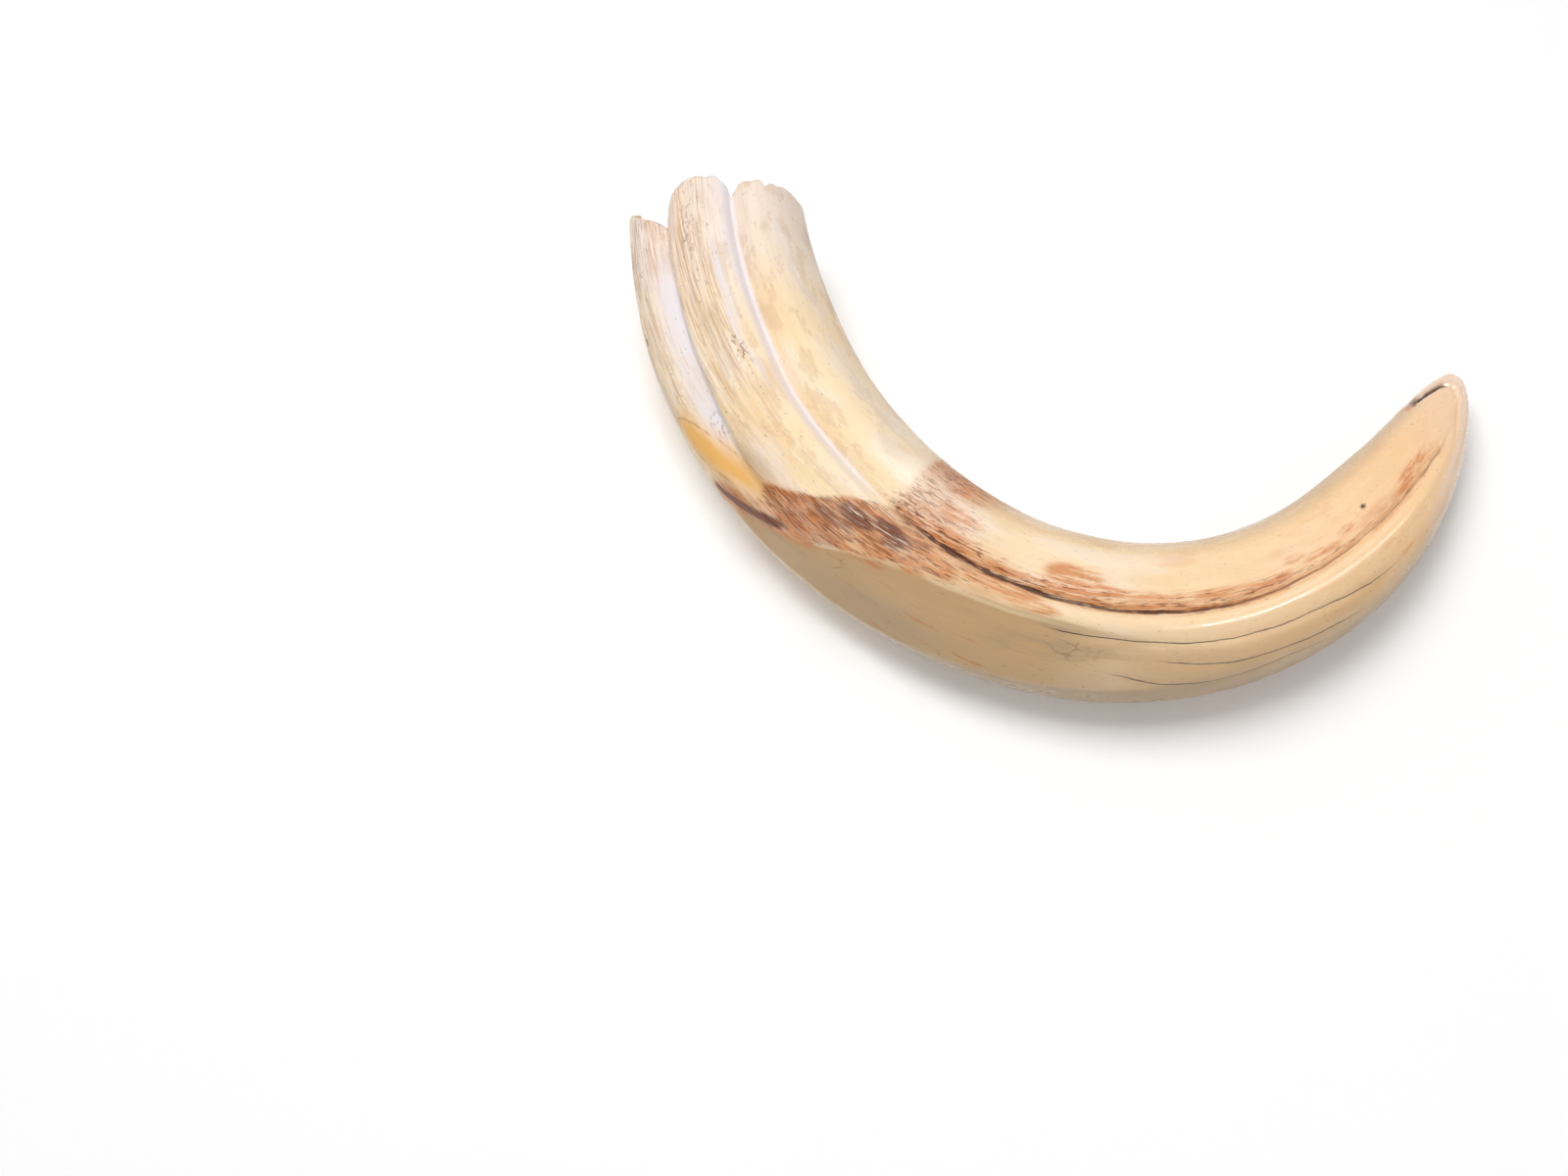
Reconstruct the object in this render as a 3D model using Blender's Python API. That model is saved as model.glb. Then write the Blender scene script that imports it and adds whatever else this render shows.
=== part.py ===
"""A warthog's upper tusk, as one solid that lies on its side. Metres, +Z up.

The tusk is first made straight, as a blank along +X from its root to its tip, with its outer
curve towards -Y. A flat spine curve then bends the blank. Shares run from 0 at the root to 1 at
the tip. Angles go round the blank in degrees: 0 is the top, 90 the outer curve, 180 the underside
and -90 the inner curve.
"""

import bpy
import numpy as np

# The spine, which is the tusk's middle line.
LENGTH = 0.262
ROOT_PLACE = (-0.0748, 0.0630)
ROOT_HEADING = -86.5
CURVATURE = ((0, 5.5), (0.2, 8.4), (0.4, 10.6), (0.6, 16.2), (0.8, 10.2), (1, 1.0))
SPINE_POINTS = 241

# The unworn section: half sizes by share, in metres, and how square its corners are.
INNER_HALF = (
    (0, 0.0207), (0.15, 0.0219), (0.3, 0.0205), (0.45, 0.0178),
    (0.6, 0.0162), (0.75, 0.0143), (0.9, 0.0114), (1, 0.0097),
)
OUTER_HALF = (
    (0, 0.0197), (0.15, 0.0210), (0.3, 0.0204), (0.45, 0.0186),
    (0.6, 0.0168), (0.75, 0.0149), (0.9, 0.0117), (1, 0.0097),
)
HALF_HEIGHT = ((0, 0.0155), (0.4, 0.0150), (0.7, 0.0125), (0.9, 0.0095), (1, 0.0080))
SQUARENESS = 2.4
TIP_FROM = 0.80

# Long grooves and swells: path by share in degrees, spreads in degrees towards the lower and the
# higher angles, and depth by share in metres. A swell is a groove whose depth is negative.
GROOVES = {
    "cheek_groove": (
        ((0, -14), (0.12, -12), (0.18, -10), (0.24, -4), (0.3, 0), (0.38, 8), (0.46, 16), (0.54, 20),
         (0.65, 23), (0.8, 21), (0.86, 24), (0.9, 29), (1, 32)),
        (7.5, 6.0),
        ((0, 0.0020), (0.3, 0.0017), (0.45, 0.0012), (0.6, 0.0009), (0.85, 0.0006), (0.93, 0)),
    ),
    "outer_groove": (
        ((0, 47), (0.13, 51), (0.22, 56), (0.29, 62), (0.34, 66), (1, 66)),
        (4.5, 12.0),
        ((0, 0.0030), (0.2, 0.0026), (0.28, 0.0016), (0.36, 0)),
    ),
    "under_groove": (
        ((0, 188), (0.5, 182), (1, 176)),
        (10.0, 10.0),
        ((0, 0.0022), (0.5, 0.0016), (0.85, 0.0006), (1, 0)),
    ),
    "inner_groove": (
        ((0, -92), (1, -98)),
        (14.0, 14.0),
        ((0, 0.0006), (0.35, 0.0004), (0.6, 0)),
    ),
    "middle_ridge": (
        ((0, 16), (0.3, 26), (0.5, 34), (1, 38)),
        (14.0, 14.0),
        ((0, -0.0009), (0.3, -0.0007), (0.5, -0.0004), (0.8, -0.0004), (0.95, 0)),
    ),
    "outer_flange": (
        ((0, 72), (0.2, 78), (0.35, 84)),
        (9.0, 9.0),
        ((0, -0.0010), (0.2, -0.0006), (0.34, 0)),
    ),
}

# The flat that the lower tusk has rubbed on, by share: the angle of its upper edge and the way it
# faces, both in degrees, and how far it has faded back out of the skin, in metres.
FACET_EDGE = (
    (0.2, 104), (0.264, 94), (0.305, 74), (0.343, 64), (0.375, 52), (0.407, 43.5), (0.445, 39.5),
    (0.483, 38), (1, 38),
)
FACET_FACING = (
    (0.2, 104), (0.264, 98), (0.305, 88), (0.343, 81), (0.375, 75), (0.407, 69), (0.445, 65),
    (0.483, 62), (0.55, 60), (1, 60),
)
FACET_FADED = ((0, 0.0010), (0.24, 0.0010), (0.28, 0), (0.5, 0), (0.6, 0.0012), (0.7, 0.0040), (1, 0.0040))

# The root's broken rim: how far it stands back from the spine's start, by angle.
RIM = (
    (-180, 0.0050), (-140, 0.0035), (-100, 0.0040), (-70, 0.0034), (-45, 0.0026), (-26, 0.0024),
    (-14, 0.0036), (0, 0.0018), (20, 0.0018), (34, 0.0040), (44, 0.0108), (52, 0.0104),
    (62, 0.0072), (75, 0.0036), (88, 0.0008), (110, 0.0030), (145, 0.0062), (180, 0.0050),
)
RIM_FADES_AT = 0.060

# The hollow that the root grows round.
HOLLOW_DEPTH = 0.088
RIM_WALL = 0.0026
HOLLOW_FULLNESS = 0.72

# The skin's facets.
COLUMNS = 72
RINGS = 54
HOLLOW_RINGS = 11
SUNK = 0.0005  # how far the underside is rubbed flat

IVORY = (0.86, 0.70, 0.47, 1.0)
IVORY_ROUGHNESS = 0.35


def keyed(keys, at):
    """The values at some positions of a smooth curve through (position, value) keys."""
    x, y = np.array(keys, float).T
    slope = np.diff(y) / np.diff(x)
    pair = slope[:-1] * slope[1:]
    total = np.where(pair > 0, slope[:-1] + slope[1:], 1.0)
    bend = np.concatenate([slope[:1], np.where(pair > 0, 2 * pair / total, 0.0), slope[-1:]])
    at = np.clip(at, x[0], x[-1])
    i = np.clip(np.searchsorted(x, at, side="right") - 1, 0, len(x) - 2)
    step = x[i + 1] - x[i]
    t = (at - x[i]) / step
    rise = t * t * (3 - 2 * t)
    return (
        y[i] * (1 - rise) + y[i + 1] * rise
        + step * (bend[i] * t * (1 - t) ** 2 - bend[i + 1] * t * t * (1 - t))
    )


def turned(degrees):
    """Degrees brought to between -180 and 180."""
    return (degrees + 180) % 360 - 180


def closing(share):
    """1 along the tusk, falling to 0 at the tip as a round nose does."""
    nose = np.clip((share - TIP_FROM) / (1 - TIP_FROM), 0, 1)
    return np.sqrt(1 - nose**2)


def unworn_radius(share, degrees):
    """How far the skin is from the spine before it is grooved, rubbed and rounded at the tip."""
    angle = np.radians(degrees)
    across = np.where(np.sin(angle) > 0, keyed(OUTER_HALF, share), keyed(INNER_HALF, share))
    upright = keyed(HALF_HEIGHT, share)
    return (
        np.abs(np.sin(angle) / across) ** SQUARENESS + np.abs(np.cos(angle) / upright) ** SQUARENESS
    ) ** (-1 / SQUARENESS)


def skin_radius(share, degrees):
    """How far the skin is from the spine."""
    radius = unworn_radius(share, degrees)
    for path, (below, above), depth in GROOVES.values():
        away = turned(degrees - keyed(path, share))
        away = away / np.where(away < 0, below, above)
        radius = radius - keyed(depth, share) * np.exp(-(away**2))
    edge, facing = keyed(FACET_EDGE, share), keyed(FACET_FACING, share)
    flat = unworn_radius(share, edge) * np.cos(np.radians(facing - edge)) + keyed(FACET_FADED, share)
    lean = np.cos(np.radians(turned(degrees - facing)))
    radius = np.minimum(radius, flat / np.maximum(lean, 0.05))
    return radius * closing(share)


def blank_points(share, degrees, radius):
    """Points of the straight blank, whose underside is rubbed flat at Z 0."""
    angle = np.radians(degrees)
    rim = keyed(RIM, turned(degrees)) * np.clip(1 - share * LENGTH / RIM_FADES_AT, 0, 1) ** 2
    height = keyed(HALF_HEIGHT, share) - SUNK
    return np.stack(
        [share * LENGTH + rim, -radius * np.sin(angle), np.maximum(height + radius * np.cos(angle), 0)],
        axis=-1,
    )


def skin_rings():
    """The skin's rings of points, from the rim to just short of the tip."""
    share = 1 - (1 - np.linspace(0, 1, RINGS + 1)[:-1]) ** 1.25
    degrees = np.arange(COLUMNS) * 360 / COLUMNS
    share, degrees = np.meshgrid(share, degrees, indexing="ij")
    return blank_points(share, degrees, skin_radius(share, degrees))


def hollow_rings():
    """The hollow's rings of points, from just short of its far end back to the rim."""
    inward = np.linspace(1, 0, HOLLOW_RINGS + 1)[1:] ** 1.3
    degrees = np.arange(COLUMNS) * 360 / COLUMNS
    inward, degrees = np.meshgrid(inward, degrees, indexing="ij")
    share = inward * HOLLOW_DEPTH / LENGTH
    radius = (skin_radius(share, degrees) - RIM_WALL) * (1 - inward) ** HOLLOW_FULLNESS
    points = blank_points(share, degrees, radius)
    points[..., 2] = np.maximum(points[..., 2], RIM_WALL)
    return points


def make_blank():
    """The straight tusk: one closed mesh, from the hollow's far end out over the rim to the tip."""
    rings = np.concatenate([hollow_rings(), skin_rings()])
    count = len(rings)
    height = keyed(HALF_HEIGHT, np.array([HOLLOW_DEPTH / LENGTH, 1.0])) - SUNK
    poles = [(HOLLOW_DEPTH, 0, height[0]), (LENGTH, 0, height[1])]
    points = [tuple(p) for p in rings.reshape(-1, 3)] + poles
    far_end, tip = len(points) - 2, len(points) - 1
    faces = []
    for column in range(COLUMNS):
        after = (column + 1) % COLUMNS
        faces.append((far_end, after, column))
        for ring in range(count - 1):
            a, b = ring * COLUMNS + column, ring * COLUMNS + after
            faces.append((a, b, b + COLUMNS, a + COLUMNS))
        last = (count - 1) * COLUMNS
        faces.append((last + column, last + after, tip))
    mesh = bpy.data.meshes.new("tusk")
    mesh.from_pydata(points, [], faces)
    mesh.validate()
    return mesh


def make_spine():
    """The flat curve that the blank is bent along."""
    share = np.linspace(0, 1, SPINE_POINTS)
    step = LENGTH / (SPINE_POINTS - 1)
    curvature = keyed(CURVATURE, share)
    heading = np.radians(ROOT_HEADING) + np.cumsum(curvature) * step
    curve = bpy.data.curves.new("spine", "CURVE")
    curve.dimensions = "3D"
    curve.twist_mode = "Z_UP"
    line = curve.splines.new("POLY")
    line.points.add(SPINE_POINTS - 1)
    x, y = ROOT_PLACE
    for point, turn in zip(line.points, heading):
        point.co = (x, y, 0, 1)
        x += step * np.cos(turn)
        y += step * np.sin(turn)
    spine = bpy.data.objects.new("spine", curve)
    spine.hide_render = True
    spine.display_type = "WIRE"
    bpy.context.scene.collection.objects.link(spine)
    return spine


def ivory():
    """Old ivory, cream to honey, polished by handling."""
    material = bpy.data.materials.new("ivory")
    material.use_nodes = True
    shader = material.node_tree.nodes["Principled BSDF"]
    shader.inputs["Base Color"].default_value = IVORY
    shader.inputs["Roughness"].default_value = IVORY_ROUGHNESS
    shader.inputs["Metallic"].default_value = 0
    return material


def make_tusk():
    """The tusk, bent along its spine."""
    mesh = make_blank()
    mesh.materials.append(ivory())
    mesh.shade_smooth()
    tusk = bpy.data.objects.new("tusk", mesh)
    bpy.context.scene.collection.objects.link(tusk)
    bend = tusk.modifiers.new("bend", "CURVE")
    bend.object = make_spine()
    bend.deform_axis = "POS_X"


def main():
    for thing in list(bpy.data.objects):
        bpy.data.objects.remove(thing)
    make_tusk()


if __name__ == "__main__":
    main()
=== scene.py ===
"""A warthog's upper tusk with its finish, laid out as a Blender add-on and run as a script.

The tusk starts as a straight blank along +X, from its root to its tip, with its outer curve towards
-Y. The blank is carved, marked with what its material needs to know, and then bent along a flat
spine. Shares run from 0 at the root to 1 at the tip. Angles go round the blank in degrees: 0 is the
top, 90 the outer curve, 180 the underside and -90 the inner curve.
"""

import math

import bmesh
import bpy
import numpy as np
from mathutils import Matrix, Vector, noise


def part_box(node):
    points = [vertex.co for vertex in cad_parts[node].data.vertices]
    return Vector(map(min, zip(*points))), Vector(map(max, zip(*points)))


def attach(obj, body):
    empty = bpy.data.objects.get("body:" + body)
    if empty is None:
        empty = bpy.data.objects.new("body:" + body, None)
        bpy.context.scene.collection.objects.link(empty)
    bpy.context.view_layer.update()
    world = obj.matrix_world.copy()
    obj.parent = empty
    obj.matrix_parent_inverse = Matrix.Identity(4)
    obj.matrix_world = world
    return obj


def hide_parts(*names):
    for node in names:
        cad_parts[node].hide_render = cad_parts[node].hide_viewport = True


bl_info = {
    "name": "Warthog tusk",
    "version": (1, 0, 0),
    "blender": (4, 5, 0),
    "location": "View3D > Sidebar > Tusk",
    "description": "Carves, bends and finishes a warthog's tusk around its measured solid",
    "category": "Add Mesh",
}

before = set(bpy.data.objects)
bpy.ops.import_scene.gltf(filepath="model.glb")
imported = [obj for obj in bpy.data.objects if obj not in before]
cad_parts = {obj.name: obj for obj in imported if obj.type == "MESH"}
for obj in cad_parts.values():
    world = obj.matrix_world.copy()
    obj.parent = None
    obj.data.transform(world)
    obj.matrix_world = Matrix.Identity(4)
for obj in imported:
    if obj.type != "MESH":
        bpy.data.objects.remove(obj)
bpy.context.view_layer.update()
SOLID_LOW, SOLID_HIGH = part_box("tusk")
SOLID_MIDDLE = (SOLID_LOW + SOLID_HIGH) / 2

# The spine, as the solid has it. Its curvature is in turns of one radian a metre.
ROOT_HEADING = math.radians(-86.5)
CURVATURE = ((0, 5.5), (0.2, 8.4), (0.4, 10.6), (0.6, 16.2), (0.8, 10.2), (1, 1.0))
SPINE_POINTS = 241

# The unworn section: half sizes by share, in metres, and how square its corners are.
INNER_HALF = (
    (0, 0.0207), (0.15, 0.0219), (0.3, 0.0205), (0.45, 0.0178),
    (0.6, 0.0162), (0.75, 0.0143), (0.9, 0.0114), (1, 0.0097),
)
OUTER_HALF = (
    (0, 0.0197), (0.15, 0.0210), (0.3, 0.0204), (0.45, 0.0186),
    (0.6, 0.0168), (0.75, 0.0149), (0.9, 0.0117), (1, 0.0097),
)
HALF_HEIGHT = ((0, 0.0155), (0.4, 0.0150), (0.7, 0.0125), (0.9, 0.0095), (1, 0.0080))
SQUARENESS = 2.4

# Where the tip starts to close, by share, and how much of the underside the rest has flattened.
TIP_FROM = 0.80
SUNK = 0.0005

# Where the long marks run: angle by share.
CREASE = (
    (0, -14), (0.12, -12), (0.18, -10), (0.24, -4), (0.3, 0), (0.38, 8), (0.46, 16), (0.54, 20),
    (0.65, 23), (0.8, 21), (0.86, 24), (0.9, 29), (1, 32),
)
OUTER_GROOVE = ((0, 47), (0.13, 51), (0.22, 56), (0.29, 62), (0.34, 66), (1, 66))
MIDDLE_RIDGE = ((0, 16), (0.3, 26), (0.5, 34), (1, 38))
FLANGE = ((0, 72), (0.2, 78), (0.35, 84))

# Grooves and swells: path, spreads in degrees towards the lower and the higher angles, and depth by
# share in metres. A swell is a groove whose depth is negative.
GROOVES = (
    (CREASE, (7.5, 6.0), ((0, 0.0020), (0.3, 0.0017), (0.45, 0.0012), (0.6, 0.0009), (0.85, 0.0006),
                          (0.93, 0))),
    (CREASE, (1.8, 1.5), ((0, 0.0003), (0.3, 0.0003), (0.42, 0.0007), (0.85, 0.0005), (0.93, 0))),
    (OUTER_GROOVE, (4.5, 12.0), ((0, 0.0030), (0.2, 0.0026), (0.28, 0.0016), (0.36, 0))),
    (((0, 188), (0.5, 182), (1, 176)), (10.0, 10.0), ((0, 0.0022), (0.5, 0.0016), (0.85, 0.0006), (1, 0))),
    (((0, -92), (1, -98)), (14.0, 14.0), ((0, 0.0006), (0.35, 0.0004), (0.6, 0))),
    (MIDDLE_RIDGE, (14.0, 14.0), ((0, -0.0009), (0.3, -0.0007), (0.5, -0.0004), (0.8, -0.0004), (0.95, 0))),
    (FLANGE, (9.0, 9.0), ((0, -0.0010), (0.2, -0.0006), (0.34, 0))),
    # The swell outside the crease near the tip.
    (((0.4, 30), (0.7, 34), (0.9, 38)), (6.0, 7.0), ((0.45, 0), (0.55, -0.0005), (0.8, -0.0005), (0.93, 0))),
    # The rib inside the flange.
    (((0, 62), (0.2, 68)), (3.0, 4.0), ((0, -0.0005), (0.12, -0.0003), (0.2, 0))),
)

# The flat that the lower tusk has rubbed on, by share: the angle of its upper edge and the way it
# faces, both in degrees, and how far it has faded back out of the skin, in metres.
FACET_EDGE = (
    (0.2, 104), (0.264, 94), (0.305, 74), (0.343, 64), (0.375, 52), (0.407, 43.5), (0.445, 39.5),
    (0.483, 38), (1, 38),
)
FACET_FACING = (
    (0.2, 104), (0.264, 98), (0.305, 88), (0.343, 81), (0.375, 75), (0.407, 69), (0.445, 65),
    (0.483, 62), (0.55, 60), (1, 60),
)
FACET_FADED = (
    (0, 0.0010), (0.24, 0.0010), (0.28, 0), (0.5, 0), (0.6, 0.0012), (0.7, 0.0040), (1, 0.0040),
)
FACET_EDGE_WIDTH = 0.0003
FACET_EDGE_DIP = 0.00012

# Drying cracks: angle by share, from where they start to where they end, then how wide and deep they
# are, in metres, and how much of their length their two ends take to fade.
CRACKS = (
    ((0.512, 43), (0.528, 43.5), (0.572, 44.5), (0.636, 48.5), (0.70, 50), (0.763, 57), (0.80, 60)),
    ((0.588, 60), (0.605, 64), (0.64, 68), (0.674, 69), (0.73, 73), (0.76, 76)),
    ((0.555, 73), (0.575, 77.5), (0.6, 82), (0.64, 83.5), (0.68, 80), (0.73, 83)),
)
CRACK_SPREAD = 0.0010
CRACK_DEPTH = 0.00028
CRACK_FADES = 0.02, 0.05

# The root's broken rim: how far it stands back from the spine's start, by angle, and its notches:
# angle, spread in degrees and depth in metres.
RIM = (
    (-180, 0.0050), (-140, 0.0035), (-100, 0.0040), (-70, 0.0034), (-45, 0.0026), (-26, 0.0024),
    (-14, 0.0036), (0, 0.0018), (20, 0.0018), (34, 0.0040), (44, 0.0108), (52, 0.0104),
    (62, 0.0072), (75, 0.0036), (88, 0.0008), (110, 0.0030), (145, 0.0062), (180, 0.0050),
)
RIM_NOTCHES = (
    (-40, 2.2, 0.0016), (-16, 2.6, 0.0030), (-66, 1.6, 0.0007), (118, 2.0, 0.0012), (-128, 2.4, 0.0014),
)

# How far up the tusk the rim's shape pulls at it, how rough the rim is, and how round, in metres.
RIM_FADES_AT = 0.060
RIM_ROUGHNESS = 0.0007
RIM_ROUNDING = 0.0006
RIM_ROUNDING_FADES = 0.0007

# The tip's raised edge: where the flat top ends, as a share by angle, how far its lip stands up and
# the groove inside it goes down, in metres, and the chip in it: share, angle, depth and spreads.
TIP_EDGE = (
    (-90, 0.905), (-70, 0.925), (-58, 0.940), (-47, 0.952), (-36, 0.965), (-27, 0.972), (0, 0.977),
    (27, 0.967), (40, 0.940), (50, 0.850), (60, 0.780),
)
LIP_HEIGHT = 0.00025
LIP_GROOVE = 0.00042
CHIP_SHARE, CHIP_ANGLE, CHIP_DEPTH = 0.944, -60, 0.0007
CHIP_SPREADS = 0.006, 12

# The size of the swells in the skin, of the root's fine ridges and of the swells in the hollow, and
# how far those last ones stand, all in metres.
SWELL_SIZE = 0.016
FLUTE_SIZE = 0.0014
HOLLOW_SWELL_SIZE = 0.006
HOLLOW_SWELL = 0.0004

# Where stains start, how far they reach and how strong they are, by angle.
GUM_LINE = (
    (-180, 0.350), (-120, 0.366), (-52, 0.370), (6, 0.376), (12, 0.368), (22, 0.350), (37, 0.330),
    (48, 0.308), (58, 0.290), (68, 0.292), (80, 0.262), (90, 0.250), (112, 0.262), (150, 0.330), (180, 0.350),
)
STAIN_REACH = (
    (-180, 0.05), (-100, 0.08), (-52, 0.15), (-30, 0.13), (-10, 0.13), (4, 0.14), (14, 0.20), (34, 0.20),
    (42, 0.14), (60, 0.10), (72, 0.07), (100, 0.05), (180, 0.05),
)
STAIN_STRENGTH = (
    (-180, 0.45), (-100, 0.55), (-50, 0.75), (-32, 0.50), (-12, 0.50), (2, 0.65), (12, 0.62),
    (24, 0.95), (60, 1.0), (68, 0.40), (100, 0.40), (180, 0.45),
)

# Soft patches of colour: share, angle, half their length in shares, half their width in degrees, and
# strength.
PURPLE_PATCHES = (
    (0.364, 31, 0.022, 8, 1.0), (0.390, 26, 0.024, 7, 1.0), (0.350, 42, 0.026, 6, 0.6),
    (0.408, 24, 0.018, 4, 0.6), (0.378, 2, 0.012, 6, 0.45), (0.43, 12, 0.022, 3, 0.4),
    (0.534, 15, 0.006, 3, 0.5), (0.356, 52, 0.016, 5, 0.45), (0.396, 33, 0.014, 5, 0.8),
)
RUST_PATCHES = (
    (0.530, -3, 0.026, 12, 1.0), (0.545, 6, 0.030, 7, 0.9), (0.520, 9, 0.020, 6, 0.8),
    (0.596, 9, 0.026, 2.5, 1.0), (0.713, 1, 0.012, 5, 0.9), (0.735, 8, 0.022, 5, 0.7),
    (0.768, 3.5, 0.012, 4, 0.9), (0.862, 9, 0.026, 8, 1.0), (0.845, 15, 0.018, 5, 0.8),
    (0.480, 24, 0.034, 7, 1.0), (0.505, 31, 0.024, 5, 0.8), (0.800, 57, 0.012, 2.0, 0.6),
    (0.50, -62, 0.04, 5, 0.6), (0.66, 118, 0.05, 8, 0.5), (0.56, 182, 0.04, 9, 0.6),
    (0.77, 190, 0.03, 8, 0.6), (0.84, -104, 0.03, 8, 0.5), (0.935, -50, 0.010, 8, 0.8),
    (0.68, 12, 0.03, 5, 0.7), (0.64, 9, 0.03, 5, 0.6), (0.420, -42, 0.030, 14, 0.55),
    (0.425, -14, 0.028, 12, 0.45), (0.352, 50, 0.022, 8, 1.0), (0.335, 60, 0.018, 6, 0.9),
    (0.432, 9, 0.026, 10, 0.8), (0.432, 30, 0.022, 8, 0.6), (0.375, 49, 0.030, 7, 1.0),
    (0.405, 41, 0.026, 5, 0.8),
)
FLECK_PATCHES = (
    (0.190, 18, 0.022, 6, 1.0), (0.13, 78, 0.008, 2.5, 1.0), (0.40, -48, 0.025, 9, 0.8),
    (0.385, 0, 0.018, 9, 1.0), (0.05, 26, 0.05, 6, 0.5), (0.23, 60, 0.014, 5, 0.7),
    (0.797, -4, 0.0035, 2.0, 1.6), (0.54, 60, 0.022, 12, 0.9), (0.365, 67, 0.014, 9, 0.9),
    (0.06, 78, 0.05, 5, 0.6),
)
# Chalky bloom with a painted sheen: pale streaks on the root's ridge beside the crease.
CHALK_AND_SHEEN_PATCHES = (
    (0.12, 10, 0.055, 4.0, 0.9), (0.165, 14, 0.035, 3.0, 0.9), (0.205, 12, 0.03, 3.0, 0.6),
)
BUTTER_PATCHES = (
    (0.16, -24, 0.07, 9, 0.20), (0.25, -6, 0.05, 8, 0.12), (0.31, -22, 0.05, 12, 0.12),
    (0.26, 30, 0.06, 9, 0.16), (0.08, 40, 0.04, 6, 0.15), (0.47, -30, 0.05, 18, 0.10),
    (0.90, -20, 0.05, 18, 0.16),
)
# Painted shade: darker grey patches on the flange, beside the outer groove and near the outer edge.
SHADE_PATCHES = (
    (0.28, 54, 0.030, 9, 0.45), (0.285, 80, 0.030, 8, 0.9), (0.335, 80, 0.022, 9, 0.8),
    (0.345, 56, 0.030, 9, 0.7), (0.18, 86, 0.04, 9, 0.5),
)
DIRT_PATCHES = ((0.797, -4, 0.0030, 2.8, 1.3), (0.130, 78, 0.0035, 2.0, 0.6), (0.936, -46, 0.0025, 5, 0.7))

# Where the amber patch and the flange's dark streak run: angle by share.
AMBER = ((0.19, 86), (0.25, 71), (0.31, 58))
FLANGE_STREAK = ((0.245, 95), (0.258, 90), (0.29, 80), (0.325, 68.5), (0.352, 58))

# The blank: a bar, how far in from its edge its bore starts, the radius that tells its skin from its
# bore, how fine its skin is, and how closely its rings crowd towards the tip.
BAR_RADIUS = 0.02
BORE_INSET = 0.004
SKIN_FROM_RADIUS = BAR_RADIUS - BORE_INSET / 2
COLUMNS = 192
RINGS = (21, 20)
HOLLOW_RINGS = 36
RING_CROWDING = 1.25
SAME_PLACE = 1e-6

MM = 1000


def display(red, green, blue):
    """A colour given by its display values, from 0 to 255, as the linear one that shaders use."""
    return tuple(
        v / 12.92 if v <= 0.04045 else ((v + 0.055) / 1.055) ** 2.4
        for v in (red / 255, green / 255, blue / 255)
    )


def tint(name, description, *shown):
    return bpy.props.FloatVectorProperty(
        name=name, description=description, subtype="COLOR", min=0, max=1, default=display(*shown)
    )


class TuskShape(bpy.types.PropertyGroup):
    length: bpy.props.FloatProperty(
        name="Length", description="The spine's length", default=0.262, min=0.05, unit="LENGTH"
    )
    hollow_depth: bpy.props.FloatProperty(
        name="Hollow", description="How deep the root's hollow is", default=0.088, min=0.01,
        unit="LENGTH",
    )
    rim_wall: bpy.props.FloatProperty(
        name="Rim wall", description="The wall's thickness at the rim", default=0.0026, min=0.0005,
        unit="LENGTH",
    )
    hollow_fullness: bpy.props.FloatProperty(
        name="Hollow fullness", description="Below 1 the hollow stays wide for longer", default=0.72,
        min=0.3,
    )
    waviness: bpy.props.FloatProperty(
        name="Waviness", description="How far the skin swells and dips", default=0.00016, min=0,
        unit="LENGTH",
    )
    fluting: bpy.props.FloatProperty(
        name="Fluting", description="How high the root's fine ridges are", default=0.00010, min=0,
        unit="LENGTH",
    )


class TuskColours(bpy.types.PropertyGroup):
    cream: tint("Cream", "The middle of the tusk", 248, 222, 184)
    pale: tint("Pale cream", "Paler clouds in the cream", 250, 232, 208)
    root: tint("Root", "The chalky root", 240, 222, 208)
    butter: tint("Butter", "Yellower stretches at the root's end", 249, 222, 178)
    peach: tint("Peach", "The tip's top", 249, 206, 156)
    grain: tint("Grain", "Fine lines along the root", 178, 136, 102)
    # Chalky bloom with a painted bluish sheen, the grooves' pale lavender.
    chalk_and_sheen: tint("Chalk", "The bloom in the grooves", 235, 227, 229)
    amber: tint("Amber", "The clear yellow patch under the outer groove", 242, 186, 104)
    worn: tint("Worn", "The rubbed flat", 208, 168, 118)
    # Painted highlight along the rubbed flat's upper edge.
    crest_highlight: tint("Crest", "The rubbed flat's upper edge", 250, 226, 184)
    # Patina with painted shade: the curved sides drawn darker where they turn from the light.
    patina_and_shade: tint("Patina", "The duller outer curve", 172, 150, 124)
    brown: tint("Brown", "Stain past the gum line", 194, 114, 50)
    dark: tint("Dark brown", "Dashes in the stain", 120, 62, 34)
    purple: tint("Purple brown", "The darkest stain", 100, 51, 43)
    rust: tint("Rust", "Orange stain beside the crease", 212, 132, 70)
    crease: tint("Crease", "Dirt in the crease", 72, 43, 36)
    crack: tint("Crack", "Dirt in the drying cracks", 84, 66, 54)
    # The tip's polished band, with a painted highlight along its rim.
    tip_band_and_highlight: tint("Tip rim", "The tip's rounded outer band", 242, 218, 206)
    hollow: tint("Hollow", "Inside the root", 204, 172, 134)


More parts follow.
